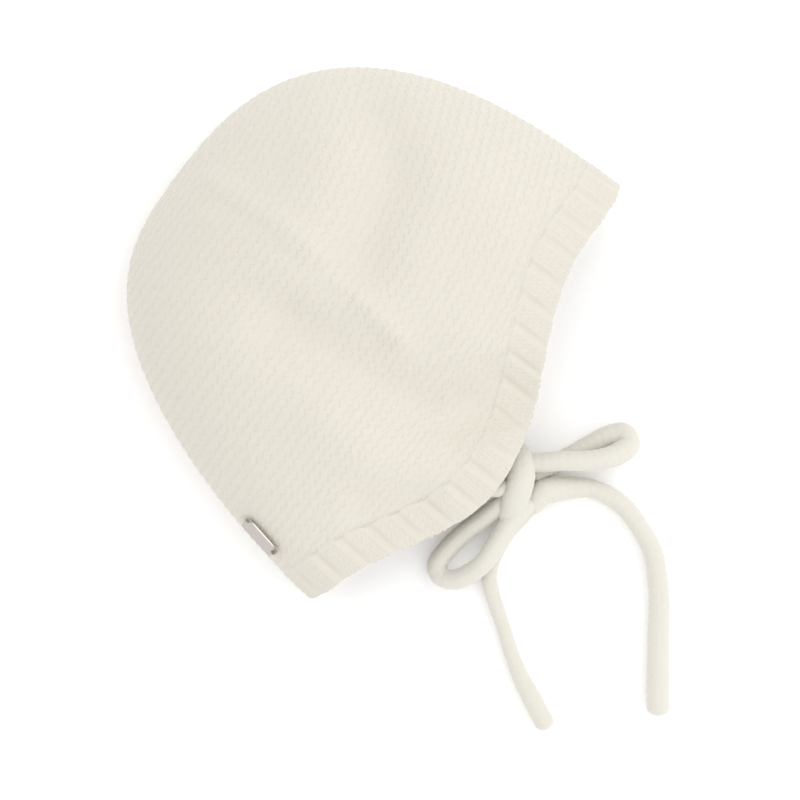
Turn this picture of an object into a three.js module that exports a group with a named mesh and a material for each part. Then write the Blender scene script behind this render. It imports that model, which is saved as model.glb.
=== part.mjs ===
// Knitted baby bonnet lying on its side with its ties in a bow. Millimetres, +Z up.
// Across runs from the nape to the forehead, along from the rim to the top of the crown.
// Both are measured from the middle of the rim line, and up from the surface it lies on.
import * as THREE from 'three';

// Outline of the crown as it lies, two curves that meet at the top
const FRONT_HALF = 87.2;
const BACK_HALF = 88;
const HEIGHT = 122.5;
const FRONT_POWER = 2.62;
const BACK_ACROSS_POWER = 3;
const BACK_ALONG_POWER = 1.36;

// Rim: nearly straight at the two folds, dropping to a rounded ear corner
const FOREHEAD_RIM = 2.2;
const NAPE_RIM = 4;
const EAR_DROP = 28.3;
const EAR_AT = -20;
const EAR_REACH_FRONT = 86;
const EAR_REACH_BACK = 66;
const TIP_POWER = 20;
const UNDER_INSET = 2;
const STRAIGHT_FROM = 90;

// Knitted wall and ribbed band
const WALL = 3;
const GAP = 0.5;
const BAND_WIDTH = 15;
const RIBS = 38;
const COLUMNS_PER_RIB = 6;
const FURROW_DEPTH = 1.6;
const FURROW_POWER = 1.6;
const BAND_ROWS = 3;

// Height of the two folds, roundness of the two layers and fineness of the crown
const FOLD_UP = 11;
const UPPER_POWER = 2.6;
const CAP_POWER = 4;
const FLAT_SHARE = 0.82;
const UNDER_CAP = 14;
const CROWN_COLUMNS = 64;
const CROWN_ROWS = 18;

// How far the upper layer stands above the folds, from the ear corner to the top
const SECTIONS = [
  { along: -30, rise: 8 },
  { along: 0, rise: 19 },
  { along: 40, rise: 32 },
  { along: 70, rise: 37 },
  { along: 100, rise: 37 },
  { along: HEIGHT, rise: 37 },
];

// Soft ridges and hollows of the upper layer
const FOLDS = [
  {
    name: 'side ridge', width: 4.4, up: 2,
    line: [[4.5, 112], [7, 85], [6, 66], [3, 47], [0, 29]],
  },
  {
    name: 'hollow in front', width: 12, up: -5.5,
    line: [[58.5, 86], [49.5, 72], [38.5, 63.5], [25, 60], [14.5, 55]],
  },
  {
    name: 'hollow behind the ridge', width: 12, up: -5,
    line: [[-18, 62], [-17.5, 48], [-17.5, 28], [-16, 14], [-12, 1], [-1, -10], [8, -13]],
  },
  {
    name: 'swell at the nape', width: 15, up: 3.5,
    line: [[-40, 30], [-40, 20]],
  },
  {
    name: 'hollow by the nape band', width: 10, up: -3.5,
    line: [[-52, 0], [-40, -6]],
  },
  {
    name: 'swell at the forehead', width: 15, up: 3,
    line: [[60, 44], [53, 30]],
  },
  {
    name: 'swell over the ear', width: 9, up: 2,
    line: [[14, 11], [15, 8]],
  },
  {
    name: 'dent by the top', width: 9, up: -2,
    line: [[17.5, 103.6], [22, 98]],
  },
  {
    name: 'swell at the ear corner', width: 9, up: 2,
    line: [[-10, -18], [-13, -22]],
  },
];

// Metal plate on the back fold
const PLATE = { long: 14.4, wide: 5, thick: 0.8, corner: 1, level: 28.4, angle: 2.86, clear: 0.9 };

// Knot of the bow, an egg on its side
const KNOT = { across: -14.6, along: -37.4, up: 7.6, long: 9.2, wide: 5.6, high: 7.2, turn: 1.005 };

// Knitted ties: thickness and the way each stretch lies, as across, along, up
const TIE_SIDES = 10;
const TIES = [
  {
    name: 'near_tie_lead', thick: 6, steps: 3,
    way: [[-16.8, -28.8, 14.6], [-16.3, -29.8, 14.5], [-15.8, -30.8, 14.4]],
  },
  {
    name: 'far_tie_lead', thick: 2.4, steps: 3,
    way: [[-17.5, -27, 1.6], [-17.2, -28.2, 1.6], [-16.8, -30, 1.6]],
  },
  {
    name: 'right_bow_loop', thick: 7, steps: 18,
    way: [
      [-5, -33.9, 10.8], [0.1, -39.8, 11.2], [4.2, -45.3, 11.2], [8.8, -50.5, 10.6], [13.7, -54, 9.2],
      [18.6, -55.3, 7], [20.5, -51.8, 5], [16.7, -48.2, 4], [10.7, -45.2, 3.7], [5.6, -42.8, 3.7],
      [0.7, -40.4, 3.7], [-3.3, -38.3, 3.8], [-6.5, -36.8, 4],
    ],
  },
  {
    name: 'left_bow_loop', thick: 7, steps: 20,
    way: [
      [-20.1, -33.8, 9.4], [-25.6, -32.2, 9], [-31.4, -30.6, 8], [-37.9, -28.7, 6.8], [-44.6, -27.5, 5.4],
      [-50.5, -27.2, 4.4], [-54.1, -28.2, 4], [-55.5, -31.9, 4.4], [-53.2, -35.8, 6], [-48.4, -38.4, 8.2],
      [-43.2, -39.7, 10.4], [-37.9, -39.7, 10.8], [-32.7, -39.3, 10.8], [-27.8, -38.9, 10.7],
      [-21.6, -39.4, 10.6],
    ],
  },
  {
    name: 'right_tail', thick: 7.4, steps: 16,
    way: [
      [-10.8, -43.2, 6], [-9, -45.4, 5.2], [-4.9, -48.7, 4.2], [-1.5, -53, 3.8], [0.3, -58.5, 3.8],
      [0.9, -64.8, 3.8], [0, -70.5, 3.8], [-1.9, -76.2, 3.8], [-5.5, -83.8, 3.8], [-11.2, -90, 3.8],
      [-17.3, -95.4, 3.8], [-23.9, -100.2, 3.8], [-30.5, -104.9, 3.8], [-37.1, -109.8, 3.8],
      [-43.7, -114.6, 3.8], [-49.2, -119, 3.8],
    ],
  },
  {
    name: 'left_tail', thick: 6, steps: 14,
    way: [
      [-22, -40.9, 3.4], [-29.5, -40.2, 3.2], [-35, -40.7, 3.1], [-40.5, -41.8, 3.1], [-45.5, -44.2, 3.1],
      [-48.9, -47.5, 3.1], [-53.1, -53.2, 3.1], [-57.2, -59.2, 3.1], [-61.4, -64.9, 3.1],
      [-64.5, -69.6, 3.1], [-67.2, -74.2, 3.1], [-70.5, -81.1, 3.1], [-73.8, -88.1, 3.1],
      [-75.4, -91.6, 3.1],
    ],
  },
];

const IVORY = new THREE.Color(0xebe6d8);
const STEEL = new THREE.Color(0xb9b3a8);

const { clamp, smoothstep, lerp } = THREE.MathUtils;

function wool() {
  return new THREE.MeshStandardMaterial({ color: IVORY, roughness: 0.95, metalness: 0 });
}

// Half width of the lying outline at a height along it, towards the face and the nape
function halfWidth(along, towardsFace) {
  const share = clamp(along / HEIGHT, 0, 1);
  if (towardsFace) return FRONT_HALF * (1 - share ** FRONT_POWER) ** (1 / FRONT_POWER);
  return BACK_HALF * (1 - share ** BACK_ALONG_POWER) ** (1 / BACK_ACROSS_POWER);
}

// How far the rim drops below the rim line
function rimDrop(across) {
  const reach = across > EAR_AT ? EAR_REACH_FRONT : EAR_REACH_BACK;
  const rim = across > EAR_AT ? FOREHEAD_RIM : NAPE_RIM;
  const away = Math.min(Math.abs(across - EAR_AT) / reach, 1);
  return rim + (EAR_DROP - rim) * (1 + Math.cos(Math.PI * away)) / 2;
}

// A smooth curve through the rows of the section table
function riseAt(along) {
  const slope = (i) => {
    const before = SECTIONS[Math.max(i - 1, 0)];
    const after = SECTIONS[Math.min(i + 1, SECTIONS.length - 1)];
    return (after.rise - before.rise) / (after.along - before.along);
  };
  const at = clamp(along, SECTIONS[0].along, HEIGHT);
  let row = 0;
  while (row < SECTIONS.length - 2 && SECTIONS[row + 1].along < at) row += 1;
  const span = SECTIONS[row + 1].along - SECTIONS[row].along;
  const t = (at - SECTIONS[row].along) / span;
  return SECTIONS[row].rise * (1 + 2 * t) * (1 - t) ** 2 + SECTIONS[row + 1].rise * t * t * (3 - 2 * t)
    + span * (slope(row) * t * (1 - t) ** 2 - slope(row + 1) * t * t * (1 - t));
}

// Sum of the ridges and hollows at a place on the upper layer
function foldRelief(across, along) {
  const place = new THREE.Vector2(across, along);
  let up = 0;
  for (const fold of FOLDS) {
    let nearest = Infinity;
    for (let i = 1; i < fold.line.length; i += 1) {
      const start = new THREE.Vector2(...fold.line[i - 1]);
      const run = new THREE.Vector2(...fold.line[i]).sub(start);
      const share = clamp(place.clone().sub(start).dot(run) / run.lengthSq(), 0, 1);
      nearest = Math.min(nearest, start.addScaledVector(run, share).distanceTo(place));
    }
    up += fold.up * Math.exp(-((nearest / fold.width) ** 2));
  }
  return up;
}

// Outer face of the bonnet: level is the distance from the rim, and the turn runs once round
// from the forehead fold over the upper layer to the nape fold and back underneath
function outerPoint(level, turn) {
  const side = Math.cos(turn);
  const across = side * halfWidth(level, side > 0);
  const rimShare = 1 - smoothstep(level, BAND_WIDTH, STRAIGHT_FROM);
  const belowShare = Math.max(0, -Math.sin(turn));
  const drop = (rimDrop(across) - UNDER_INSET * belowShare) * (1 - Math.abs(side) ** TIP_POWER);
  const along = level - drop * rimShare;
  const share = clamp(along / HEIGHT, 0, 1);
  if (Math.sin(turn) >= 0) {
    const round = Math.sqrt(1 - Math.abs(side) ** UPPER_POWER) * Math.sqrt(1 - share ** CAP_POWER);
    const up = FOLD_UP + round * (riseAt(along) + foldRelief(across, along));
    return new THREE.Vector3(across, along, up);
  }
  const edge = Math.max(0, (Math.abs(side) - FLAT_SHARE) / (1 - FLAT_SHARE));
  const top = clamp((along - HEIGHT + UNDER_CAP) / UNDER_CAP, 0, 1);
  const flat = Math.sqrt(1 - edge * edge) * Math.sqrt(1 - top * top);
  return new THREE.Vector3(across, along, FOLD_UP * (1 - flat));
}

function outwardNormal(level, turn) {
  const step = 0.004;
  const low = Math.min(level, HEIGHT - 2 * step);
  const around = outerPoint(low, turn + step).sub(outerPoint(low, turn - step));
  const onward = outerPoint(low + step, turn).sub(outerPoint(Math.max(low - step, 0), turn));
  return onward.cross(around).normalize();
}

// Turns that divide a round of the bonnet into equal lengths
function evenTurns(level, count) {
  const samples = 1440;
  const lengths = [0];
  let last = outerPoint(level, 0);
  for (let i = 1; i <= samples; i += 1) {
    const next = outerPoint(level, (i / samples) * 2 * Math.PI);
    lengths.push(lengths[i - 1] + next.distanceTo(last));
    last = next;
  }
  const turns = [];
  let at = 0;
  for (let i = 0; i < count; i += 1) {
    const wanted = (i / count) * lengths[samples];
    while (lengths[at + 1] < wanted) at += 1;
    const part = (wanted - lengths[at]) / (lengths[at + 1] - lengths[at]);
    turns.push(((at + part) / samples) * 2 * Math.PI);
  }
  return turns;
}

// Closed wall between an outer and an inner net of points; rows run from the rim upwards,
// and the last row may be a single point at the top
function wallGeometry(outer, inner) {
  const positions = [];
  const index = [];
  const addNet = (net) => net.map((row) => row.map((point) => positions.push(...point.toArray()) / 3 - 1));
  const outerIds = addNet(outer);
  const innerIds = addNet(inner);
  const strip = (low, high) => {
    const columns = low.length;
    for (let i = 0; i < columns; i += 1) {
      const next = (i + 1) % columns;
      if (high.length === 1) {
        index.push(low[i], high[0], low[next]);
      } else {
        index.push(low[i], high[next], low[next], low[i], high[i], high[next]);
      }
    }
  };
  const last = outer.length - 1;
  for (let row = 0; row < last; row += 1) {
    strip(outerIds[row], outerIds[row + 1]);
    const high = innerIds[row + 1].length === 1 ? innerIds[row + 1] : [...innerIds[row + 1]].reverse();
    strip([...innerIds[row]].reverse(), high);
  }
  strip([...outerIds[0]].reverse(), [...innerIds[0]].reverse());
  if (outer[last].length > 1) strip(outerIds[last], innerIds[last]);
  const geometry = new THREE.BufferGeometry();
  geometry.setAttribute('position', new THREE.Float32BufferAttribute(positions, 3));
  geometry.setIndex(index);
  geometry.computeVertexNormals();
  return geometry;
}

function rimBand() {
  const turns = evenTurns(BAND_WIDTH / 2, RIBS * COLUMNS_PER_RIB);
  const outer = [];
  const inner = [];
  for (let row = 0; row < BAND_ROWS; row += 1) {
    const level = (row / (BAND_ROWS - 1)) * BAND_WIDTH;
    const net = turns.map((turn, i) => {
      const wave = (1 - Math.cos((2 * Math.PI * i) / COLUMNS_PER_RIB)) / 2;
      const depth = FURROW_DEPTH * wave ** FURROW_POWER;
      const normal = outwardNormal(level, turn);
      const crest = outerPoint(level, turn);
      return [crest.clone().addScaledVector(normal, -depth), crest.addScaledVector(normal, -depth - WALL)];
    });
    outer.push(net.map((pair) => pair[0]));
    inner.push(net.map((pair) => pair[1]));
  }
  const mesh = new THREE.Mesh(wallGeometry(outer, inner), wool());
  mesh.name = 'rim_band';
  return mesh;
}

function crown() {
  const start = BAND_WIDTH + GAP;
  const turns = evenTurns(start, CROWN_COLUMNS);
  const outer = [];
  const inner = [];
  for (let row = 0; row < CROWN_ROWS; row += 1) {
    const level = lerp(start, HEIGHT, Math.sin((row / CROWN_ROWS) * Math.PI / 2));
    outer.push(turns.map((turn) => outerPoint(level, turn)));
    inner.push(turns.map((turn) => outerPoint(level, turn).addScaledVector(outwardNormal(level, turn), -WALL)));
  }
  const top = new THREE.Vector3(0, HEIGHT, FOLD_UP);
  outer.push([top]);
  inner.push([new THREE.Vector3(0, HEIGHT - WALL, FOLD_UP)]);
  const mesh = new THREE.Mesh(wallGeometry(outer, inner), wool());
  mesh.name = 'crown';
  return mesh;
}

// Thin plate with round corners, lying against the wall just above the back fold
function metalPlate() {
  const { long, wide, thick, corner, level, angle, clear } = PLATE;
  const x = long / 2 - corner;
  const y = wide / 2 - corner;
  const outline = new THREE.Shape();
  outline.absarc(x, y, corner, 0, Math.PI / 2);
  outline.absarc(-x, y, corner, Math.PI / 2, Math.PI);
  outline.absarc(-x, -y, corner, Math.PI, 1.5 * Math.PI);
  outline.absarc(x, -y, corner, 1.5 * Math.PI, 2 * Math.PI);
  const geometry = new THREE.ExtrudeGeometry(outline, { depth: thick, bevelEnabled: false, curveSegments: 3 });
  const mesh = new THREE.Mesh(
    geometry,
    new THREE.MeshStandardMaterial({ color: STEEL, roughness: 0.35, metalness: 1 }),
  );
  mesh.name = 'metal_plate';
  const normal = outwardNormal(level, angle);
  const onward = outerPoint(level + 1, angle).sub(outerPoint(level - 1, angle));
  onward.addScaledVector(normal, -onward.dot(normal)).normalize();
  const sideways = normal.clone().cross(onward);
  mesh.quaternion.setFromRotationMatrix(new THREE.Matrix4().makeBasis(onward, sideways, normal));
  mesh.position.copy(outerPoint(level, angle).addScaledVector(normal, clear));
  return mesh;
}

function bowKnot() {
  const mesh = new THREE.Mesh(new THREE.SphereGeometry(1, 16, 10), wool());
  mesh.name = 'bow_knot';
  mesh.scale.set(KNOT.long, KNOT.wide, KNOT.high);
  mesh.rotation.z = KNOT.turn;
  mesh.position.set(KNOT.across, KNOT.along, KNOT.up);
  return mesh;
}

function tieStretch({ name, thick, steps, way }) {
  const section = new THREE.Shape();
  for (let i = 0; i < TIE_SIDES; i += 1) {
    const turn = (i / TIE_SIDES) * 2 * Math.PI;
    const x = (thick / 2) * Math.cos(turn);
    const y = (thick / 2) * Math.sin(turn);
    if (i === 0) section.moveTo(x, y);
    else section.lineTo(x, y);
  }
  const extrudePath = new THREE.CatmullRomCurve3(way.map((point) => new THREE.Vector3(...point)));
  const mesh = new THREE.Mesh(new THREE.ExtrudeGeometry(section, { steps, extrudePath }), wool());
  mesh.name = name;
  return mesh;
}

const bonnet = new THREE.Group();
bonnet.add(crown(), rimBand(), metalPlate(), bowKnot(), ...TIES.map(tieStretch));
// The origin is under the middle of the bonnet without its ties
bonnet.position.set((BACK_HALF - FRONT_HALF) / 2, (EAR_DROP - HEIGHT) / 2, 0);

export default bonnet;
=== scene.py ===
import math

import bpy
import numpy as np
from bpy.props import FloatProperty, FloatVectorProperty, IntProperty, PointerProperty
from bpy.types import Operator, Panel, PropertyGroup
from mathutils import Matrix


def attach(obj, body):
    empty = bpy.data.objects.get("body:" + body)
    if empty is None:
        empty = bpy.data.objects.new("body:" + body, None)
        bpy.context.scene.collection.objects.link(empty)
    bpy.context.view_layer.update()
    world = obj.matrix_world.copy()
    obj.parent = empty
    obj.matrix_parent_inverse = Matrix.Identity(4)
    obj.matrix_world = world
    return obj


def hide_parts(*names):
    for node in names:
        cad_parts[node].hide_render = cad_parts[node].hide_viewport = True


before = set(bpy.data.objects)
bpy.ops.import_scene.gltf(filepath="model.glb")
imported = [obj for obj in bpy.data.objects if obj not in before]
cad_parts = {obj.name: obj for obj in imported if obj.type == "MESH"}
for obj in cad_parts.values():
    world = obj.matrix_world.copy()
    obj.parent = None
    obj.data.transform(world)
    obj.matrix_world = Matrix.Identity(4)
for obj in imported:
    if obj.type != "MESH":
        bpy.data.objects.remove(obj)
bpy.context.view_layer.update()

bl_info = {
    "name": "Knitted baby bonnet",
    "version": (1, 0, 0),
    "blender": (4, 5, 0),
    "location": "3D View > Sidebar > Bonnet",
    "description": "Dresses the bonnet in garter stitch, with a ribbed band, knitted ties and a metal plate",
    "category": "Object",
}

# Roundness of the lying outline, the two layers and the rim's tips
FRONT_POWER = 2.62
BACK_ACROSS_POWER = 3
BACK_ALONG_POWER = 1.36
UPPER_POWER = 2.6
CAP_POWER = 4
TIP_POWER = 20
FLAT_SHARE = 0.82
FURROW_POWER = 7

# How far the upper layer stands above the folds: along, rise
SECTIONS = np.array([
    (-0.030, 0.008),
    (0.000, 0.019),
    (0.040, 0.032),
    (0.070, 0.037),
    (0.100, 0.037),
    (0.1225, 0.037),
])

# Soft ridges and hollows of the upper layer: a line as (across, along), width, height
FOLDS = [
    ([(0.0045, 0.112), (0.007, 0.085), (0.006, 0.066), (0.003, 0.047), (0, 0.029)], 0.0044, 0.0022),
    ([(-0.006, 0.108), (-0.004, 0.085), (-0.005, 0.067)], 0.010, 0.0016),
    ([(-0.023, 0.078), (-0.022, 0.062)], 0.014, -0.0014),
    ([(0.0585, 0.086), (0.0495, 0.072), (0.0385, 0.0635), (0.025, 0.06), (0.0145, 0.055)], 0.012, -0.0065),
    ([(-0.018, 0.062), (-0.0175, 0.048), (-0.0175, 0.028), (-0.016, 0.014), (-0.012, 0.001),
      (-0.001, -0.010), (0.008, -0.013)], 0.012, -0.006),
    ([(-0.013, 0.004), (-0.004, -0.007)], 0.011, -0.002),
    ([(-0.037, 0.029), (-0.037, 0.020)], 0.014, 0.0035),
    ([(-0.052, 0), (-0.042, -0.009)], 0.010, -0.0042),
    ([(-0.001, -0.002), (0.008, -0.0025)], 0.007, -0.0022),
    ([(0.06, 0.044), (0.053, 0.03)], 0.015, 0.003),
    ([(0.014, 0.011), (0.015, 0.008)], 0.009, 0.002),
    ([(0.0175, 0.1036), (0.022, 0.098)], 0.009, -0.002),
    ([(-0.01, -0.018), (-0.013, -0.022)], 0.009, 0.002),
]

# The way each stretch of the ties lies, as across, along, up in millimetres
MM = 0.001
RIGHT_LOOP = [
    (-9.4, -26.6, 7.5), (-7.4, -30.4, 8.8), (-5, -33.9, 9.8), (0.1, -39.8, 11), (4.2, -45.3, 11.2),
    (8.8, -50.5, 10.6), (13.7, -54, 9.2), (18.6, -55.3, 7), (20.5, -51.8, 5), (16.7, -48.2, 4),
    (10.7, -45.2, 3.7), (5.6, -42.8, 3.7), (0.7, -40.4, 3.7), (-3.3, -38.3, 3.8), (-6.5, -36.8, 4),
    (-11, -35.4, 5),
]
LEFT_LOOP = [
    (-16, -35.2, 9.4), (-20.1, -33.8, 9.4), (-25.6, -32.2, 9), (-31.4, -30.6, 8), (-37.9, -28.7, 6.8),
    (-44.6, -27.5, 5.4), (-50.5, -27.2, 4.4), (-54.1, -28.2, 4), (-55.5, -31.9, 4.4), (-53.2, -35.8, 6),
    (-48.4, -38.4, 8.2), (-43.2, -39.7, 10.4), (-37.9, -39.7, 10.8), (-32.7, -39.3, 10.8),
    (-27.8, -38.9, 10.7), (-21.6, -39.4, 10.6), (-16.5, -39.5, 9.5),
]
RIGHT_TAIL = [
    (-20.3, -40.4, 5.2), (-15.8, -40.7, 6.2), (-12, -41.6, 6.4), (-8.8, -44.2, 5.6), (-4.9, -48.4, 4.4),
    (-1.5, -53, 3.8), (0.3, -58.5, 3.8), (0.9, -64.8, 3.8), (0, -70.5, 3.8), (-1.9, -76.2, 3.8),
    (-5.5, -83.8, 3.8), (-11.2, -90, 3.8), (-17.3, -95.4, 3.8), (-23.9, -100.2, 3.8),
    (-30.5, -104.9, 3.8), (-37.1, -109.8, 3.9), (-43.7, -114.6, 4), (-49.2, -119, 4),
]
LEFT_TAIL = [
    (-17, -40.5, 5), (-22, -40.9, 3.4), (-29.5, -40.2, 3.2), (-35, -40.7, 3.1), (-40.5, -41.8, 3.1),
    (-45.5, -44.2, 3.1), (-48.9, -47.5, 3.1), (-53.1, -53.2, 3.1), (-57.2, -59.2, 3.1),
    (-61.4, -64.9, 3.1), (-64.5, -69.6, 3.1), (-67.2, -74.2, 3.1), (-70.5, -81.1, 3.1),
    (-73.8, -88.1, 3.1), (-75.4, -91.6, 3.1),
]
NEAR_LEAD = [
    (-22.4, -26, 13.6), (-20.6, -28.6, 13), (-16.8, -30.8, 11.6), (-13, -33.4, 10),
]
FAR_LEAD = [(-17.8, -25.5, 3.4), (-17.2, -28.2, 3.4), (-16.6, -31, 4), (-15.5, -35, 6)]
KNOT_WRAP = [
    (-27.5, -38.6, 9.6), (-24, -37.2, 11.4), (-20.5, -35.8, 12.8), (-16, -34.2, 13.8),
    (-11.6, -32, 13.2), (-8, -29, 11.2), (-6, -26.4, 8), (-6, -25.4, 4.5),
]

# Fineness of the measuring along the surface, and the gap that counts as closed
ROUND_SAMPLES = 1441
STEP = 1e-5
TURN_STEP = 1e-4
SEAM = 1e-6
SMALLEST = 1e-12


class BonnetShape(PropertyGroup):
    """Sizes of the lying bonnet."""

    front_half: FloatProperty(
        name="Forehead half", description="Half width towards the forehead fold",
        default=0.0872, unit="LENGTH")
    back_half: FloatProperty(
        name="Nape half", description="Half width towards the nape fold",
        default=0.088, unit="LENGTH")
    height: FloatProperty(
        name="Height", description="From the rim line to the top of the crown",
        default=0.1225, unit="LENGTH")
    forehead_rim: FloatProperty(
        name="Forehead rim", description="How far the rim hangs below the rim line at the forehead",
        default=0.0022, unit="LENGTH")
    nape_rim: FloatProperty(
        name="Nape rim", description="How far the rim hangs below the rim line at the nape",
        default=0.004, unit="LENGTH")
    ear_drop: FloatProperty(
        name="Ear drop", description="How far the ear corner hangs below the rim line",
        default=0.0283, unit="LENGTH")
    ear_at: FloatProperty(
        name="Ear place", description="Where the ear corner lies across the bonnet",
        default=-0.020, unit="LENGTH")
    ear_reach_front: FloatProperty(
        name="Ear reach to the face", description="How far the drop runs towards the face",
        default=0.086, unit="LENGTH")
    ear_reach_back: FloatProperty(
        name="Ear reach to the nape", description="How far the drop runs towards the nape",
        default=0.066, unit="LENGTH")
    under_inset: FloatProperty(
        name="Under inset", description="How far the lower layer's rim lies behind the upper one's",
        default=0.002, unit="LENGTH")
    straight_from: FloatProperty(
        name="Straight from", description="Level where the rows no longer follow the rim",
        default=0.090, unit="LENGTH")
    fold_up: FloatProperty(
        name="Fold height", description="Height of the two folds above the surface",
        default=0.011, unit="LENGTH")
    under_cap: FloatProperty(
        name="Under cap", description="Length of the round end of the lower layer",
        default=0.014, unit="LENGTH")
    band_width: FloatProperty(
        name="Band width", description="Width of the ribbed band",
        default=0.015, unit="LENGTH")
    wall: FloatProperty(
        name="Wall", description="Thickness of the knitted wall",
        default=0.003, unit="LENGTH")
    ribs: IntProperty(
        name="Ribs", description="Ribs round the opening", default=38)
    furrow_depth: FloatProperty(
        name="Furrow depth", description="Depth of the furrows between ribs",
        default=0.0011, unit="LENGTH")


class BonnetKnit(PropertyGroup):
    """Stitch sizes and colours."""

    stitch_width: FloatProperty(
        name="Stitch width", description="Width of one garter stitch",
        default=0.00336, unit="LENGTH")
    ridge_height: FloatProperty(
        name="Ridge height", description="Height of one garter ridge",
        default=0.00343, unit="LENGTH")
    yarn_radius: FloatProperty(
        name="Yarn radius", description="Half thickness of the yarn",
        default=0.00078, unit="LENGTH")
    tie_thick: FloatProperty(
        name="Tie thickness", description="Thickness of the loops of the bow",
        default=0.007, unit="LENGTH")
    right_tail_thick: FloatProperty(
        name="Right tail thickness", description="Thickness of the right tail",
        default=0.0075, unit="LENGTH")
    left_tail_thick: FloatProperty(
        name="Left tail thickness", description="Thickness of the stretched left tail",
        default=0.0068, unit="LENGTH")
    wool_colour: FloatVectorProperty(
        name="Wool", description="Colour of the wool", subtype="COLOR", size=3,
        default=(0.742, 0.706, 0.632), min=0, max=1)
    wool_shade: FloatVectorProperty(
        name="Wool shade", description="Slightly darker wool in the blend", subtype="COLOR", size=3,
        default=(0.712, 0.669, 0.588), min=0, max=1)
    tie_colour: FloatVectorProperty(
        name="Tie wool", description="Colour of the whiter wool of the ties", subtype="COLOR", size=3,
        default=(0.75, 0.725, 0.652), min=0, max=1)
    tie_shade: FloatVectorProperty(
        name="Tie shade", description="Slightly darker wool in the ties' blend", subtype="COLOR", size=3,
        default=(0.724, 0.697, 0.62), min=0, max=1)
    thread_colour: FloatVectorProperty(
        name="Thread", description="Colour of the thread that holds the plate", subtype="COLOR", size=3,
        default=(0.36, 0.31, 0.25), min=0, max=1)
    metal_colour: FloatVectorProperty(
        name="Metal", description="Colour of the bare plate", subtype="COLOR", size=3,
        default=(0.59, 0.55, 0.52), min=0, max=1)


class BonnetStage(PropertyGroup):
    """Camera, floor and light."""

    view_width: FloatProperty(
        name="View width", description="Width of the picture at the bonnet",
        default=0.272, unit="LENGTH")
    camera_height: FloatProperty(
        name="Camera height", description="Height of the camera above the floor",
        default=1.6, unit="LENGTH")
    sky: FloatProperty(
        name="Sky light", description="Strength of the even light", default=0.975)
    overhead: FloatProperty(
        name="Overhead light", description="Power of the soft lamp above", default=0.6, unit="POWER")
    side: FloatProperty(
        name="Side light", description="Soft lamp from the face side", default=2.9, unit="POWER")
    fill: FloatProperty(
        name="Fill light", description="Soft lamp from the ties' side", default=1.5, unit="POWER")
    floor_glow: FloatProperty(
        name="Floor glow", description="Light that comes up through the pale floor", default=0.12)
    floor_colour: FloatVectorProperty(
        name="Floor", description="Colour of the floor", subtype="COLOR", size=3,
        default=(0.95, 0.95, 0.95), min=0, max=1)


def shape():
    """The bonnet's sizes."""
    return bpy.context.scene.bonnet_shape


def knit():
    """The stitch sizes and colours."""
    return bpy.context.scene.bonnet_knit


# Shape of the bonnet, in metres from the middle of the rim line

def half_width(along, towards_face):
    """Half width of the lying outline at a height along it."""
    share = np.clip(along / shape().height, 0, 1)
    front = shape().front_half * (1 - share ** FRONT_POWER) ** (1 / FRONT_POWER)
    back = shape().back_half * (1 - share ** BACK_ALONG_POWER) ** (1 / BACK_ACROSS_POWER)
    return np.where(towards_face, front, back)


def rim_drop(across):
    """How far the rim hangs below the rim line."""
    s = shape()
    to_face = across > s.ear_at
    reach = np.where(to_face, s.ear_reach_front, s.ear_reach_back)
    rim = np.where(to_face, s.forehead_rim, s.nape_rim)
    away = np.minimum(np.abs(across - s.ear_at) / reach, 1)
    return rim + (s.ear_drop - rim) * (1 + np.cos(np.pi * away)) / 2


def rise_at(along):
    """A smooth curve through the rows of the section table."""
    at, rise = SECTIONS.T
    before = np.maximum(np.arange(len(at)) - 1, 0)
    after = np.minimum(np.arange(len(at)) + 1, len(at) - 1)
    slope = (rise[after] - rise[before]) / (at[after] - at[before])
    along = np.clip(along, at[0], at[-1])
    row = np.clip(np.searchsorted(at, along) - 1, 0, len(at) - 2)
    span = at[row + 1] - at[row]
    t = (along - at[row]) / span
    values = rise[row] * (1 + 2 * t) * (1 - t) ** 2 + rise[row + 1] * t * t * (3 - 2 * t)
    return values + span * (slope[row] * t * (1 - t) ** 2 - slope[row + 1] * t * t * (1 - t))


def fold_relief(across, along):
    """Sum of the ridges and hollows of the upper layer."""
    place = np.stack([across, along], axis=-1)
    up = np.zeros_like(across)
    for line, width, height in FOLDS:
        nearest = np.full_like(across, np.inf)
        for start, end in zip(line, line[1:]):
            run = np.subtract(end, start)
            share = np.clip((place - start) @ run / (run @ run), 0, 1)
            nearest = np.minimum(nearest, np.linalg.norm(place - start - share[..., None] * run, axis=-1))
        up += height * np.exp(-(nearest / width) ** 2)
    return up


def outer_points(level, turn):
    """Points of the outer face in the part's frame, by level from the rim and turn round the bonnet."""
    s = shape()
    side = np.cos(turn)
    across = side * half_width(level, side > 0)
    fade = np.clip((level - s.band_width) / (s.straight_from - s.band_width), 0, 1)
    rim_share = 1 - fade * fade * (3 - 2 * fade)
    below = np.maximum(0, -np.sin(turn))
    drop = (rim_drop(across) - s.under_inset * below) * (1 - np.abs(side) ** TIP_POWER)
    along = level - drop * rim_share
    share = np.clip(along / s.height, 0, 1)
    dome = np.sqrt(1 - np.abs(side) ** UPPER_POWER) * np.sqrt(1 - share ** CAP_POWER)
    upper = s.fold_up + dome * (rise_at(along) + fold_relief(across, along))
    edge = np.maximum(0, (np.abs(side) - FLAT_SHARE) / (1 - FLAT_SHARE))
    top = np.clip((along - s.height + s.under_cap) / s.under_cap, 0, 1)
    lower = s.fold_up * (1 - np.sqrt(1 - edge * edge) * np.sqrt(1 - top * top))
    up = np.where(np.sin(turn) >= 0, upper, lower)
    return np.stack([across, along, up], axis=-1) + origin_shift()


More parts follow.
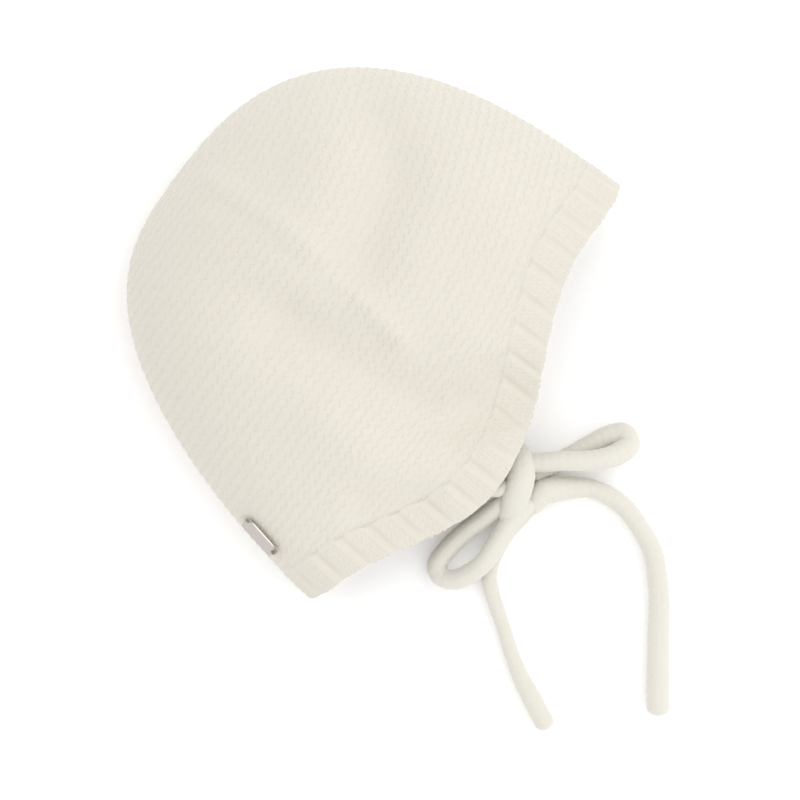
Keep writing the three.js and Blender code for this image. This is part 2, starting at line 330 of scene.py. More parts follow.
def origin_shift():
    """From the middle of the rim line to the part's origin."""
    s = shape()
    return np.array([(s.back_half - s.front_half) / 2, (s.ear_drop - s.height) / 2, 0])


def unit(vectors):
    """Vectors of the same directions, each of length one."""
    return vectors / np.maximum(np.linalg.norm(vectors, axis=-1, keepdims=True), SMALLEST)


def surface_frame(level, turn):
    """Point, direction round, direction up the crown and outward normal."""
    low = np.clip(level, STEP, shape().height - 2 * STEP)
    round_way = outer_points(low, turn + TURN_STEP) - outer_points(low, turn - TURN_STEP)
    up_way = (outer_points(low + STEP, turn) - outer_points(low - STEP, turn)) / (2 * STEP)
    normal = unit(np.cross(up_way, round_way))
    round_way = unit(round_way)
    return outer_points(level, turn), round_way, unit(np.cross(round_way, normal)), normal


def loop_lengths(level):
    """Turns of one whole round, and the length run at each."""
    turns = np.linspace(0, 2 * np.pi, ROUND_SAMPLES)
    points = outer_points(np.full(ROUND_SAMPLES, level), turns)
    run = np.concatenate([[0], np.cumsum(np.linalg.norm(np.diff(points, axis=0), axis=1))])
    return turns, run


def even_turn(level, share, measured_at=None):
    """The turn at a share of the round by length, each level on its own unless one is named."""
    if measured_at is not None:
        turns, run = loop_lengths(measured_at)
        return np.interp(share * run[-1], run, turns)
    turn = np.empty_like(share)
    for one in np.unique(level):
        row = level == one
        turns, run = loop_lengths(one)
        turn[row] = np.interp(share[row] * run[-1], run, turns)
    return turn


# Making meshes

STRAND_END_POWER = 5
STRAND_LOOK = 0.01
LIP_SEGMENTS = 3
LIP_ANGLE = math.radians(50)


def deselect():
    """Leaves edit mode, with nothing selected."""
    if bpy.context.object and bpy.context.object.mode != "OBJECT":
        bpy.ops.object.mode_set(mode="OBJECT")
    bpy.ops.object.select_all(action="DESELECT")


def vertex_places(piece):
    """Places of a piece's vertices, one a row."""
    places = np.empty(len(piece.data.vertices) * 3)
    piece.data.vertices.foreach_get("co", places)
    return places.reshape(-1, 3)


def sheet_from_grid(name, columns, rows, place):
    """A grid laid out by place(u, v) and sewn along its seam."""
    deselect()
    bpy.ops.mesh.primitive_grid_add(x_subdivisions=columns, y_subdivisions=rows, size=1)
    piece = bpy.context.object
    piece.name = piece.data.name = name
    net = vertex_places(piece) + 0.5
    piece.data.vertices.foreach_set("co", place(net[:, 0], net[:, 1]).ravel())
    bpy.ops.object.mode_set(mode="EDIT")
    bpy.ops.mesh.select_all(action="SELECT")
    bpy.ops.mesh.remove_doubles(threshold=SEAM)
    bpy.ops.mesh.normals_make_consistent(inside=False)
    bpy.ops.object.mode_set(mode="OBJECT")
    bpy.ops.object.shade_smooth()
    return piece


def give_wall(piece, thickness, lip=0.0):
    """Thickens a sheet inwards, with a rounded lip, and applies it."""
    wall = piece.modifiers.new("Wall", "SOLIDIFY")
    wall.thickness = thickness
    wall.offset = -1
    names = [wall.name]
    if lip:
        rounding = piece.modifiers.new("Lip", "BEVEL")
        rounding.width = lip
        rounding.segments = LIP_SEGMENTS
        rounding.limit_method = "ANGLE"
        rounding.angle_limit = LIP_ANGLE
        names.append(rounding.name)
    for name in names:
        bpy.ops.object.modifier_apply(modifier=name)
    bpy.ops.object.shade_smooth()


def model_strand(sides, rings, centre, radius):
    """One short strand of yarn: a sphere drawn out along centre(t), t from -1 to 1."""
    deselect()
    bpy.ops.mesh.primitive_uv_sphere_add(segments=sides, ring_count=rings, radius=1)
    pattern = bpy.context.object
    bpy.ops.object.mode_set(mode="EDIT")
    bpy.ops.mesh.select_all(action="SELECT")
    bpy.ops.mesh.quads_convert_to_tris()
    bpy.ops.object.mode_set(mode="OBJECT")
    ball = vertex_places(pattern)
    t = 1 - 2 * np.arccos(np.clip(ball[:, 2], -1, 1)) / np.pi
    around = np.arctan2(ball[:, 1], ball[:, 0])
    thick = radius * np.sqrt(1 - np.abs(t) ** STRAND_END_POWER)
    ahead = unit(centre(t + STRAND_LOOK) - centre(t - STRAND_LOOK))
    sideways = unit(np.cross(np.array([0, 0, 1.0]), ahead))
    upwards = np.cross(ahead, sideways)
    places = centre(t) + thick[:, None] * (
        np.cos(around)[:, None] * sideways + np.sin(around)[:, None] * upwards)
    triangles = np.array(sorted(tuple(face.vertices) for face in pattern.data.polygons))
    bpy.data.objects.remove(pattern)
    return places, triangles


def joined_copies(name, pattern, frames, widths, heights):
    """One mesh of a copy of the pattern at each frame, as wide and high as told."""
    places, triangles = pattern
    points, round_way, up_way, normal = frames
    copies = (points[:, None]
              + places[None, :, :1] * widths[:, None, None] * round_way[:, None]
              + places[None, :, 1:2] * heights[:, None, None] * up_way[:, None]
              + places[None, :, 2:] * normal[:, None])
    count = len(points)
    faces = (triangles[None] + len(places) * np.arange(count)[:, None, None]).reshape(-1, 3)
    mesh = bpy.data.meshes.new(name)
    mesh.vertices.add(count * len(places))
    mesh.vertices.foreach_set("co", copies.ravel())
    mesh.loops.add(faces.size)
    mesh.loops.foreach_set("vertex_index", faces.ravel())
    mesh.polygons.add(len(faces))
    mesh.polygons.foreach_set("loop_start", np.arange(0, faces.size, 3))
    mesh.polygons.foreach_set("use_smooth", np.ones(len(faces), bool))
    mesh.update(calc_edges=True)
    mesh.validate()
    piece = bpy.data.objects.new(name, mesh)
    bpy.context.collection.objects.link(piece)
    return piece


def dress(piece, material, slot, *nodes):
    """Gives a piece its material and body, and hides the solids that it stands for. The slot is not used."""
    piece.data.materials.clear()
    piece.data.materials.append(material)
    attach(piece, "root")
    if nodes:
        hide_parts(*nodes)


# Materials: grain as a noise scale, bloom as a share of sheen, shade as a share of the colour

WOOL_GRAIN = 420
FIBRE_GRAIN = 2600
BRUSH_GRAIN = 900
THREAD_GRAIN = 1500
BODY_BLOOM = 0.25
TIE_BLOOM = 0.45
BRUSH_SHADE = 0.85
THREAD_SHADE = 0.6


def new_material(name):
    """A new material with its nodes and links."""
    material = bpy.data.materials.new(name)
    material.use_nodes = True
    return material, material.node_tree.nodes, material.node_tree.links


def noise(nodes, links, scale, detail):
    """A noise on the piece's own coordinates."""
    coordinates = nodes.new("ShaderNodeTexCoord")
    texture = nodes.new("ShaderNodeTexNoise")
    texture.inputs["Scale"].default_value = scale
    texture.inputs["Detail"].default_value = detail
    links.new(coordinates.outputs["Object"], texture.inputs["Vector"])
    return texture


def wool_material(name, colour, shade, bloom):
    """Soft ivory wool: a faint blend of two shades, fine fibres and a soft bloom."""
    if name in bpy.data.materials:
        return bpy.data.materials[name]
    material, nodes, links = new_material(name)
    shader = nodes["Principled BSDF"]
    shader.inputs["Roughness"].default_value = 0.95
    shader.inputs["Specular IOR Level"].default_value = 0.15
    shader.inputs["Sheen Weight"].default_value = bloom
    shader.inputs["Sheen Roughness"].default_value = 0.6
    blend = nodes.new("ShaderNodeMix")
    blend.data_type = "RGBA"
    blend.inputs["A"].default_value = (*shade, 1)
    blend.inputs["B"].default_value = (*colour, 1)
    links.new(noise(nodes, links, WOOL_GRAIN, 3).outputs["Fac"], blend.inputs["Factor"])
    links.new(blend.outputs["Result"], shader.inputs["Base Color"])
    fibres = nodes.new("ShaderNodeBump")
    fibres.inputs["Strength"].default_value = 0.35
    fibres.inputs["Distance"].default_value = 0.0003
    links.new(noise(nodes, links, FIBRE_GRAIN, 4).outputs["Fac"], fibres.inputs["Height"])
    links.new(fibres.outputs["Normal"], shader.inputs["Normal"])
    return material


def body_wool(name):
    """The wool of the crown and the band."""
    return wool_material(name, knit().wool_colour, knit().wool_shade, BODY_BLOOM)


def tie_wool():
    """The whiter, more brushed wool of the ties."""
    return wool_material("tie_wool", knit().tie_colour, knit().tie_shade, TIE_BLOOM)


def plate_material(name, tone):
    """Bare brushed metal, its colour lightened by tone; a tone above one paints a highlight."""
    material, nodes, links = new_material(name)
    shader = nodes["Principled BSDF"]
    shader.inputs["Metallic"].default_value = 1.0
    blend = nodes.new("ShaderNodeMix")
    blend.data_type = "RGBA"
    blend.inputs["A"].default_value = (*[BRUSH_SHADE * tone * c for c in knit().metal_colour], 1)
    blend.inputs["B"].default_value = (*[tone * c for c in knit().metal_colour], 1)
    brushed = noise(nodes, links, BRUSH_GRAIN, 3)
    links.new(brushed.outputs["Fac"], blend.inputs["Factor"])
    links.new(blend.outputs["Result"], shader.inputs["Base Color"])
    rough = nodes.new("ShaderNodeMapRange")
    rough.inputs["To Min"].default_value = 0.3
    rough.inputs["To Max"].default_value = 0.45
    links.new(brushed.outputs["Fac"], rough.inputs["Value"])
    links.new(rough.outputs["Result"], shader.inputs["Roughness"])
    return material


def thread_material():
    """Fine waxed thread, darker than the wool."""
    material, nodes, links = new_material("plate_thread")
    shader = nodes["Principled BSDF"]
    shader.inputs["Roughness"].default_value = 0.6
    blend = nodes.new("ShaderNodeMix")
    blend.data_type = "RGBA"
    blend.inputs["A"].default_value = (*[THREAD_SHADE * c for c in knit().thread_colour], 1)
    blend.inputs["B"].default_value = (*knit().thread_colour, 1)
    links.new(noise(nodes, links, THREAD_GRAIN, 2).outputs["Fac"], blend.inputs["Factor"])
    links.new(blend.outputs["Result"], shader.inputs["Base Color"])
    return material


# Walls of the crown and the band, as meshes under their stitches

CROWN_COLUMNS = 200
CROWN_ROWS = 72
CROWN_UNDER_BAND = 0.0014
LEVEL_DIGITS = 7
SKIN_DEPTH = 0.00024
BAND_COLUMNS_PER_RIB = 18
BAND_ROWS = 12
BAND_SKIN_DEPTH = 0.00009
BAND_LIP = 0.0006
FURROW_FADE = ((0, 0.3), (0.3, 0.85), (0.5, 1), (0.75, 0.95), (0.9, 0.5), (1, 0))
SEAM_TUCK = ((0, 0), (0.8, 0), (1, 0.0002))

# Knit stitches of the band, each of two leaning legs
COLUMN_WIDTH = 0.0029
LEG_APART = 0.0014
LEG_ROW = 0.0026
LEG_RADIUS = 0.00075
LEG_LEAN = 0.00045
LEG_REACH = 0.0018
LEG_DEPTH = 0.8
LEG_SINK = 0.0005

# Garter rows and bumps of the crown, worked a little unevenly
STRAND_SIDES = 6
STRAND_RINGS = 7
WORKED_BY_HAND = 7
FACE_BEND = 3.0
ROW_OVERLAP = 0.0012
ROW_SAMPLES = 361
ROW_STRETCH = (0.7, 1.4)
SHORTEST_ROW = 12
SMALLEST_CLIMB = 1e-6
UNEVEN_PLACE = 0.06
UNEVEN_SIZE = 0.06
BUMP_REACH = 0.5
BUMP_TOP = 0.17
BUMP_ARCH = 0.4
BUMP_SINK = 0.0005


def crown_start():
    """Level where the crown's wall begins, under the band's edge."""
    return shape().band_width - CROWN_UNDER_BAND


def crown_net(u, v):
    """Skin of the crown, a little under the stitches."""
    start = crown_start()
    level = start + (shape().height - start) * np.sin(v * np.pi / 2)
    level = np.round(level, LEVEL_DIGITS)
    turn = even_turn(level, u)
    points, _, _, normal = surface_frame(level, turn)
    top = v > 1 - SEAM
    points[top] = np.array([0, shape().height, shape().fold_up]) + origin_shift()
    normal[top] = (0, 1, 0)
    return points - SKIN_DEPTH * normal


def rib_depth(share):
    """Depth of the furrows at a share of the round."""
    wave = (1 - np.cos(2 * np.pi * shape().ribs * share)) / 2
    return shape().furrow_depth * wave ** FURROW_POWER


def band_net(u, v):
    """Corrugated skin of the band, its furrows running out towards the edge."""
    level = v * shape().band_width
    turn = even_turn(level, u, shape().band_width / 2)
    points, _, _, normal = surface_frame(level, turn)
    depth = rib_depth(u) * np.interp(v, *np.transpose(FURROW_FADE)) + BAND_SKIN_DEPTH
    depth = depth + np.interp(v, *np.transpose(SEAM_TUCK))
    return points - depth[:, None] * normal


def row_heights(points):
    """How far back each point lies, counted in rows of knitting that bend with the face edge."""
    levels = np.linspace(0, shape().height, ROUND_SAMPLES)
    middle = outer_points(levels, np.full(ROUND_SAMPLES, np.pi / 2))
    run = np.concatenate([[0], np.cumsum(np.linalg.norm(np.diff(middle, axis=0), axis=1))])
    across, along, _ = np.moveaxis(points - origin_shift(), -1, 0)
    beyond = np.minimum(0, along - (middle[0] - origin_shift())[1])
    back = np.interp(along, (middle - origin_shift())[:, 1], run) + beyond
    return back - FACE_BEND * np.maximum(across, 0) ** 2


def garter_rows():
    """Levels and turns along each garter ridge, in stretches that end at the band."""
    levels = np.linspace(shape().band_width - ROW_OVERLAP, shape().height, ROW_SAMPLES)
    turns = np.linspace(0, 2 * np.pi, ROUND_SAMPLES)
    heights = row_heights(outer_points(*np.meshgrid(levels, turns, indexing="ij")))
    wanted = np.arange(heights[0].min() + knit().ridge_height / 2, heights[-1].min(), knit().ridge_height)
    found = np.array([np.interp(wanted, column, levels, left=np.nan) for column in heights.T]).T
    for row in found:
        missing = np.flatnonzero(np.isnan(row))
        first = missing[0] if len(missing) else 0
        order = np.arange(first, first + ROUND_SAMPLES - 1)
        row = row[order % (ROUND_SAMPLES - 1)]
        unwound = order * 2 * np.pi / (ROUND_SAMPLES - 1)
        if not len(missing):
            yield np.append(row, row[0]), np.append(unwound, unwound[0] + 2 * np.pi), True
            continue
        there = np.flatnonzero(~np.isnan(row))
        for part in np.split(there, np.flatnonzero(np.diff(there) > 1) + 1):
            if len(part) > SHORTEST_ROW:
                yield row[part], unwound[part], False


def stitch_places(run, turns, closed, offset):
    """Where the stitches of a row sit along its run, counted both ways from the middle column."""
    middle = np.pi / 2 if turns[0] <= np.pi / 2 else np.pi / 2 + 2 * np.pi
    start = np.interp(middle, turns, run) if middle < turns[-1] else run[-1] / 2
    count = max(2, round(run[-1] / knit().stitch_width))
    pitch = run[-1] / count if closed else knit().stitch_width
    if closed:
        return start + (np.arange(count) + offset) * pitch, pitch
    first = np.ceil(-start / pitch - offset)
    last = np.floor((run[-1] - start) / pitch - offset)
    return start + (np.arange(first, last + 1) + offset) * pitch, pitch


def row_ways(line, run, at, normal):
    """Directions along a row and up from it in the surface, at each stitch."""
    ahead = np.clip(at + knit().yarn_radius, 0, run[-1])
    behind = np.clip(at - knit().yarn_radius, 0, run[-1])
    along = np.stack([
        np.interp(ahead, run, part) - np.interp(behind, run, part) for part in line.T], axis=-1)
    along = unit(along - np.sum(along * normal, axis=1, keepdims=True) * normal)
    return along, np.cross(along, normal)


def row_spread(level, turn, up_way):
    """How far apart the rows lie at each stitch, as a share of the ridge height."""
    above = outer_points(np.clip(level + STEP, 0, shape().height), turn)
    below = outer_points(np.clip(level - STEP, 0, shape().height), turn)
    climb = np.abs(np.sum((above - below) * up_way, axis=1))
    rows = np.maximum(row_heights(above) - row_heights(below), SMALLEST_CLIMB)
    return np.clip(climb / rows, *ROW_STRETCH)


def garter_frames(offset, keep):
    """Frames of the garter bumps on the part of the round that keep(turn) names."""
    picked = []
    hand = np.random.default_rng(WORKED_BY_HAND)
    for levels, turns, closed in garter_rows():
        line = outer_points(levels, turns)
        run = np.concatenate([[0], np.cumsum(np.linalg.norm(np.diff(line, axis=0), axis=1))])
        at, pitch = stitch_places(run, turns, closed, offset)
        count = len(at)
        at = at + hand.normal(0, UNEVEN_PLACE, count) * knit().stitch_width
        at = at % run[-1] if closed else np.clip(at, 0, run[-1])
        level = np.interp(at, run, levels) + hand.normal(0, UNEVEN_PLACE, count) * knit().ridge_height
        level = np.clip(level, 0, shape().height - 2 * STEP)
        turn = np.interp(at, run, turns)
        points, _, _, normal = surface_frame(level, turn)
        row_way, up_way = row_ways(line, run, at, normal)
        wide = pitch / knit().stitch_width * hand.normal(1, UNEVEN_SIZE, count)
        high = row_spread(level, turn, up_way)
        kept = keep(turn % (2 * np.pi))
        picked.append([part[kept] for part in (points, row_way, up_way, normal, wide, high)])
    return [np.concatenate(parts) for parts in zip(*picked)]


def bump_centre(sign):
    """Middle line of one garter bump: an arch that opens downwards or upwards."""
    def centre(t):
        x = BUMP_REACH * knit().stitch_width * t
        y = sign * knit().ridge_height * (BUMP_TOP - BUMP_ARCH * t * t)
        z = -knit().yarn_radius - BUMP_SINK * t * t
        return np.stack([x, y, z], axis=-1)
    return centre


def leg_centre(t):
    """Middle line of one leg of a knit stitch, leaning to one side as it rises."""
    return np.stack([LEG_LEAN * t, LEG_REACH * t, -LEG_DEPTH * LEG_RADIUS - LEG_SINK * t * t], axis=-1)


def rib_frames(slant):
    """Frames of the legs that lean one way on the two knit columns of every rib."""
    s = shape()
    turns, run = loop_lengths(s.band_width / 2)
    rows = round(s.band_width / LEG_ROW)
    rib, column, row = np.meshgrid(np.arange(s.ribs), (-0.5, 0.5), np.arange(rows), indexing="ij")
    at = rib.ravel() / s.ribs * run[-1] + column.ravel() * COLUMN_WIDTH - slant * LEG_APART / 2
    level = (row.ravel() + 0.5) * s.band_width / rows
    turn = np.interp(at % run[-1], run, turns)
    points, round_way, up_way, normal = surface_frame(level, turn)
    tuck = np.interp(level / s.band_width, *np.transpose(SEAM_TUCK))
    points = points - 2 * tuck[:, None] * normal
    return (points, round_way, up_way, normal), np.full(len(at), float(slant))


class BONNET_OT_crown(Operator):
    """Model the crown's wall"""
    bl_idname = "bonnet.crown"
    bl_label = "Crown wall"

    def execute(self, context):
        piece = sheet_from_grid("crown_wall", CROWN_COLUMNS, CROWN_ROWS, crown_net)
        give_wall(piece, shape().wall - SKIN_DEPTH)
        dress(piece, body_wool("garter_wool"), "garter_knit", "crown")
        return {"FINISHED"}


class BONNET_OT_garter(Operator):
    """Work the garter stitches of the crown"""
    bl_idname = "bonnet.garter"
    bl_label = "Garter stitches"

    def execute(self, context):
        layers = {
            "upper": lambda turn: turn < np.pi,
            "lower": lambda turn: turn >= np.pi,
        }
        for layer, keep in layers.items():
            for row, sign, offset in (("heads", 1, 0), ("feet", -1, 0.5)):
                pattern = model_strand(STRAND_SIDES, STRAND_RINGS, bump_centre(sign), knit().yarn_radius)
                *frames, wide, high = garter_frames(offset, keep)
                piece = joined_copies(f"garter_{row}_{layer}", pattern, frames, wide, high)
                dress(piece, body_wool("garter_wool"), "garter_knit")
        return {"FINISHED"}


class BONNET_OT_band(Operator):
    """Model the ribbed band and its knit columns"""
    bl_idname = "bonnet.band"
    bl_label = "Ribbed band"

    def execute(self, context):
        columns = shape().ribs * BAND_COLUMNS_PER_RIB
        piece = sheet_from_grid("rim_band_wall", columns, BAND_ROWS, band_net)
        give_wall(piece, shape().wall - BAND_SKIN_DEPTH, lip=BAND_LIP)
        dress(piece, body_wool("rib_wool"), "rib_knit", "rim_band")
        legs = model_strand(STRAND_SIDES, STRAND_RINGS, leg_centre, LEG_RADIUS)
        for slant in (1, -1):
            frames, widths = rib_frames(slant)
            side = joined_copies(f"rib_legs_{'right' if slant > 0 else 'left'}", legs, frames, widths,
                                 np.ones(len(widths)))
            dress(side, body_wool("rib_wool"), "rib_knit")
        return {"FINISHED"}


# Ties

TIE_SIDES = 40
TIE_STEP = 0.0004
TIE_COLUMNS = 6
TIE_ROW = 0.0028
TIE_RELIEF = 0.0001
TIE_RELIEF_SHARE = 1.4
TIE_LEG_POWER = 0.6
TIE_ROW_SLANT = 0.9
TIE_END_ROUND = 0.8
LINE_STEPS = 40
FEWEST_STEPS = 8
RIGHT_TAIL_WORN = ((0, 1.15), (0.11, 1.18), (0.22, 0.9), (0.4, 0.86), (0.65, 0.97), (0.9, 1.07), (1, 1.05))
LEFT_TAIL_WORN = ((0, 0.85), (0.38, 0.8), (0.55, 0.72), (0.7, 0.78), (0.86, 1), (1, 1))
LOOP_WORN = ((0, 0.96), (0.5, 1), (1, 0.96))
CLOSED_LOOP_WORN = ((0, 0.96), (0.3, 1), (0.46, 1.12), (0.62, 1.12), (0.8, 1), (1, 0.96))
KNOT_WORN = ((0, 0.95), (0.3, 1.08), (0.55, 1.15), (0.8, 1.08), (1, 0.9))
KNOT_SPREAD = 1.22
KNOT_FLAT = 0.8
LEAD_THICK = 0.005


def smooth_line(way):
    """A smooth line through the points of a way, in the part's frame, at even steps."""
    points = np.array(way) * MM + origin_shift()
    padded = np.vstack([2 * points[0] - points[1], points, 2 * points[-1] - points[-2]])
    t = np.linspace(0, 1, LINE_STEPS, endpoint=False)[:, None]
    pieces = []
    for a, b, c, d in zip(padded, padded[1:], padded[2:], padded[3:]):
        pieces.append(0.5 * (2 * b + (c - a) * t + (2 * a - 5 * b + 4 * c - d) * t ** 2
                             + (3 * b - a - 3 * c + d) * t ** 3))
    line = np.vstack([*pieces, points[-1:]])
    run = np.concatenate([[0], np.cumsum(np.linalg.norm(np.diff(line, axis=0), axis=1))])
    at = np.linspace(0, run[-1], max(FEWEST_STEPS, round(run[-1] / TIE_STEP)))
    return np.stack([np.interp(at, run, line[:, k]) for k in range(3)], axis=1), at


def line_frames(line):
    """Two directions across the line at each point, turning with it and never about it."""
    ahead = unit(np.gradient(line, axis=0))
    sideways = np.empty_like(line)
    last = np.cross(ahead[0], (0, 0, 1.0))
    for i, way in enumerate(ahead):
        last = unit(last - (last @ way) * way)
        sideways[i] = last
    return sideways, np.cross(ahead, sideways)


def knitted_tube(name, way, thick, worn, spread=1.0, flat=1.0):
    """A knitted cord along a way, with stitches in relief and round ends, pressed flat on the floor."""
    line, run = smooth_line(way)
    sideways, upwards = line_frames(line)
    radius = thick / 2

    def place(u, v):
        at = np.rint(v * (len(line) - 1)).astype(int)
        turn = 2 * np.pi * u
        column = (u * TIE_COLUMNS) % 1
        leg = np.abs(np.sin(2 * np.pi * column)) ** TIE_LEG_POWER
        row = run[at] / TIE_ROW - TIE_ROW_SLANT * np.abs(column - 0.5)
        stitch = leg * (0.5 + 0.5 * np.cos(2 * np.pi * row))
        to_end = np.minimum(run[at], run[-1] - run[at])
        ends = np.sqrt(1 - np.clip(1 - to_end / (TIE_END_ROUND * radius), 0, 1) ** 2)
        share = np.interp(run[at] / run[-1], *np.transpose(worn))
        size = (radius * share - TIE_RELIEF + TIE_RELIEF_SHARE * TIE_RELIEF * stitch) * ends
        points = line[at] + size[:, None] * (
            spread * np.cos(turn)[:, None] * sideways[at] + flat * np.sin(turn)[:, None] * upwards[at])
        points[:, 2] = np.maximum(points[:, 2], 0)
        return points

    piece = sheet_from_grid(name, TIE_SIDES, len(line) - 1, place)
    return piece, line, run[-1]


class BONNET_OT_ties(Operator):
    """Lay the knitted ties and their bow"""
    bl_idname = "bonnet.ties"
    bl_label = "Ties and bow"

    def execute(self, context):
        wool = tie_wool()
        thick = knit().tie_thick
        pieces = {}
        plain = (("near_tie_lead", NEAR_LEAD, LEAD_THICK, LOOP_WORN, 1, 1),
                 ("far_tie_lead", FAR_LEAD, LEAD_THICK, LOOP_WORN, 1, 1),
                 ("bow_knot", KNOT_WRAP, thick, KNOT_WORN, KNOT_SPREAD, KNOT_FLAT))
        for name, way, across, worn, spread, flat in plain:
            pieces[name], _, _ = knitted_tube(name + "_wool", way, across, worn, spread, flat)
            dress(pieces[name], wool, "tie_knit", name)
        cords = (("right_tail", RIGHT_TAIL, knit().right_tail_thick, RIGHT_TAIL_WORN, "bare",
                  ["bow_knot", "near_tie_lead", "far_tie_lead"]),
                 ("left_tail", LEFT_TAIL, knit().left_tail_thick, LEFT_TAIL_WORN, "bare", []),
                 ("right_bow_loop", RIGHT_LOOP, thick, CLOSED_LOOP_WORN, "object", []),
                 ("left_bow_loop", LEFT_LOOP, thick, LOOP_WORN, "object", []))
        for name, way, across, worn, far_end, on_it in cords:
            piece, line, length = knitted_tube(name + "_wool", way, across, worn)
            dress(piece, wool, "tie_knit", name)
            tuple(line[0])
            [pieces[part] for part in on_it]
        return {"FINISHED"}


# Metal plate, its place by level and turn, and its threads as end, side, turn

PLATE_LONG = 0.0144
PLATE_WIDE = 0.005
PLATE_THICK = 0.0008
PLATE_LEVEL = 0.0284
PLATE_TURN = 2.86
PLATE_CLEAR = 0.0009
PLATE_LOOK = 0.001
RIM_RADIUS = 0.00042
EDGE_INSET = 0.0006
# How much lighter the edge strand's metal is painted, as a painted highlight
EDGE_HIGHLIGHT_TONE = 1.6
THREAD_RADIUS = 0.00028
THREAD_REACH = 0.001
THREAD_UP = 0.0002
THREAD_DOWN = 0.0016
THREAD_INSET = 0.0004
PLATE_STITCHES = ((1, -0.0016, 0.35), (-1, -0.0019, -0.5), (-1, -0.0011, 0.4), (-1, -0.0003, -0.2))


def plate_frame():
    """Middle of the plate's face, its long way, its short way and its normal."""
    level = np.array([PLATE_LEVEL])
    turn = np.array([PLATE_TURN])
    point, _, _, normal = surface_frame(level, turn)
    along = outer_points(level + PLATE_LOOK, turn) - outer_points(level - PLATE_LOOK, turn)
    along = unit(along - np.sum(along * normal) * normal)
    return point + (PLATE_CLEAR + PLATE_THICK) * normal, along, np.cross(normal, along), normal


def thread_centre(t):
    """One stitch over the plate's end, from the wool up and over."""
    return np.stack([THREAD_REACH * t, np.zeros_like(t), THREAD_UP - THREAD_DOWN * t ** 4], axis=-1)


def edge_centre(t):
    """The edge along the inner long side of the plate, its metal painted lighter as a highlight."""
    return np.stack([(PLATE_LONG / 2 - EDGE_INSET) * t, np.zeros_like(t), np.zeros_like(t)], axis=-1)


class BONNET_OT_plate(Operator):
    """Finish the bare metal plate, its edge with a painted highlight and the threads that hold it"""
    bl_idname = "bonnet.plate"
    bl_label = "Metal plate"

    def execute(self, context):
        node = bpy.data.objects["metal_plate"]
        metal = plate_material("brushed_plate", 1.0)
        node.data.materials.clear()
        node.data.materials.append(metal)
        middle, along, across, normal = plate_frame()
        one = np.ones(1)
        edge = model_strand(STRAND_SIDES, STRAND_RINGS, edge_centre, RIM_RADIUS)
        inner = middle - PLATE_WIDE / 2 * across - RIM_RADIUS * normal
        piece = joined_copies("plate_edge", edge, (inner, along, across, normal), one, one)
        # The edge strand wears the plate's metal painted lighter: a painted highlight
        dress(piece, plate_material("polished_edge", EDGE_HIGHLIGHT_TONE), "plate_metal")
        stitch = model_strand(STRAND_SIDES, STRAND_RINGS, thread_centre, THREAD_RADIUS)
        frames = []
        for end, side, turn in PLATE_STITCHES:
            place = middle + end * (PLATE_LONG / 2 - THREAD_INSET) * along + side * across
            ahead = math.cos(turn) * along + math.sin(turn) * across
            frames.append((place, ahead, np.cross(normal, ahead), normal))
        frames = [np.vstack(parts) for parts in zip(*frames)]
        count = len(PLATE_STITCHES)
        threads = joined_copies("plate_threads", stitch, frames, np.ones(count), np.ones(count))
        dress(threads, thread_material(), None)
        return {"FINISHED"}


# Stage

PICTURE_MIDDLE = (-0.0155, -0.0310)
PICTURE_TURN = math.radians(-53.13)
OUTLINE_UP = 0.008
SENSOR_WIDTH = 36
CAMERA_REACH = 10
FLOOR_SIZE = 4
OVERHEAD_PLACE = (0.2, -0.1, 1.5)
SIDE_PLACE = (0.9, -0.1, 1.0)
FILL_PLACE = (-0.15, -1.0, 0.7)
OVERHEAD_SIZE = 0.6
SIDE_SIZE = 0.8
FILL_SIZE = 0.8


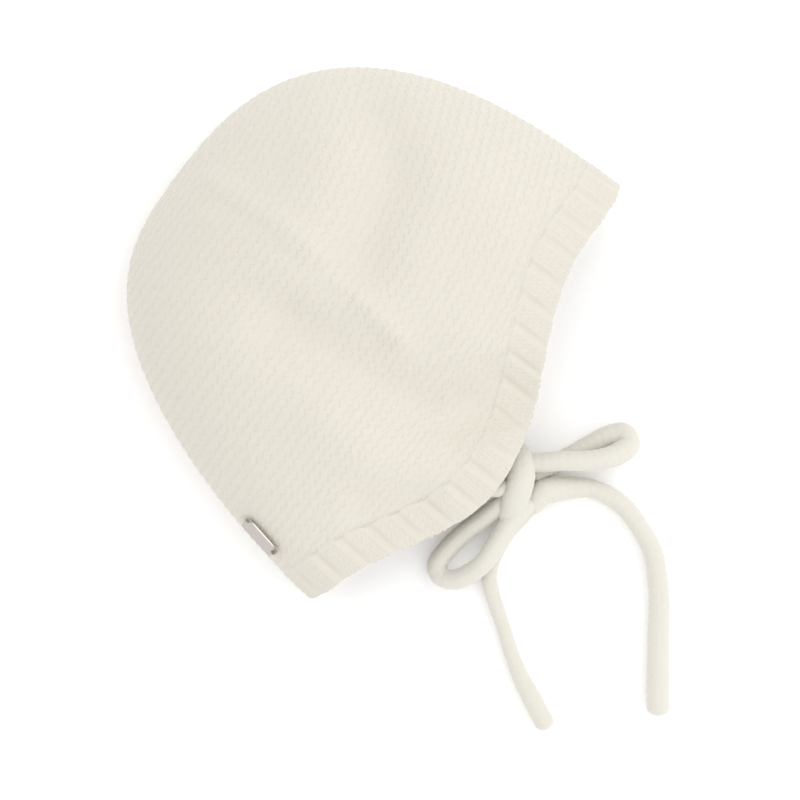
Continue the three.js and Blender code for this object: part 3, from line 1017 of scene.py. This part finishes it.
class BONNET_OT_stage(Operator):
    """Set the floor, the soft light and the camera"""
    bl_idname = "bonnet.stage"
    bl_label = "Stage"

    def execute(self, context):
        look = context.scene.bonnet_stage
        deselect()
        bpy.ops.mesh.primitive_plane_add(size=FLOOR_SIZE)
        floor = context.object
        floor.name = "floor"
        material, nodes, _ = new_material("pale_floor")
        shader = nodes["Principled BSDF"]
        shader.inputs["Base Color"].default_value = (*look.floor_colour, 1)
        shader.inputs["Roughness"].default_value = 0.9
        shader.inputs["Emission Color"].default_value = (*look.floor_colour, 1)
        shader.inputs["Emission Strength"].default_value = look.floor_glow
        floor.data.materials.append(material)

        world = bpy.data.worlds.new("soft_room")
        world.use_nodes = True
        sky = world.node_tree.nodes["Background"]
        sky.inputs["Color"].default_value = (1, 1, 1, 1)
        sky.inputs["Strength"].default_value = look.sky
        context.scene.world = world

        lamps = ((OVERHEAD_PLACE, look.overhead, OVERHEAD_SIZE), (SIDE_PLACE, look.side, SIDE_SIZE),
                 (FILL_PLACE, look.fill, FILL_SIZE))
        for place, power, size in lamps:
            bpy.ops.object.light_add(type="AREA", location=place)
            lamp = context.object
            lamp.data.energy = power
            lamp.data.size = size
            lamp.rotation_euler = (-lamp.location).to_track_quat("-Z", "Y").to_euler()

        bpy.ops.object.camera_add(
            location=(*PICTURE_MIDDLE, look.camera_height), rotation=(0, 0, PICTURE_TURN))
        camera = context.object
        camera.data.sensor_width = SENSOR_WIDTH
        camera.data.lens = SENSOR_WIDTH * (look.camera_height - OUTLINE_UP) / look.view_width
        camera.data.clip_end = CAMERA_REACH
        context.scene.camera = camera
        context.scene.view_settings.view_transform = "Standard"
        context.scene.view_settings.look = "None"
        return {"FINISHED"}


class BONNET_PT_panel(Panel):
    """Lists the bonnet's pieces"""
    bl_label = "Knitted bonnet"
    bl_idname = "BONNET_PT_panel"
    bl_space_type = "VIEW_3D"
    bl_region_type = "UI"
    bl_category = "Bonnet"

    def draw(self, context):
        for operator in OPERATORS:
            self.layout.operator(operator.bl_idname)
        for group in ("bonnet_shape", "bonnet_knit", "bonnet_stage"):
            settings = getattr(context.scene, group)
            for name in settings.__annotations__:
                self.layout.prop(settings, name)


OPERATORS = (BONNET_OT_stage, BONNET_OT_ties, BONNET_OT_crown, BONNET_OT_garter, BONNET_OT_band,
             BONNET_OT_plate)
CLASSES = (BonnetShape, BonnetKnit, BonnetStage, *OPERATORS, BONNET_PT_panel)


def register():
    for cls in CLASSES:
        bpy.utils.register_class(cls)
    bpy.types.Scene.bonnet_shape = PointerProperty(type=BonnetShape)
    bpy.types.Scene.bonnet_knit = PointerProperty(type=BonnetKnit)
    bpy.types.Scene.bonnet_stage = PointerProperty(type=BonnetStage)


def unregister():
    del bpy.types.Scene.bonnet_stage
    del bpy.types.Scene.bonnet_knit
    del bpy.types.Scene.bonnet_shape
    for cls in reversed(CLASSES):
        bpy.utils.unregister_class(cls)


def main():
    """Makes every piece in order."""
    register()
    bpy.ops.bonnet.stage()
    bpy.ops.bonnet.ties()
    bpy.ops.bonnet.crown()
    bpy.ops.bonnet.garter()
    bpy.ops.bonnet.band()
    bpy.ops.bonnet.plate()


if __name__ == "__main__":
    main()
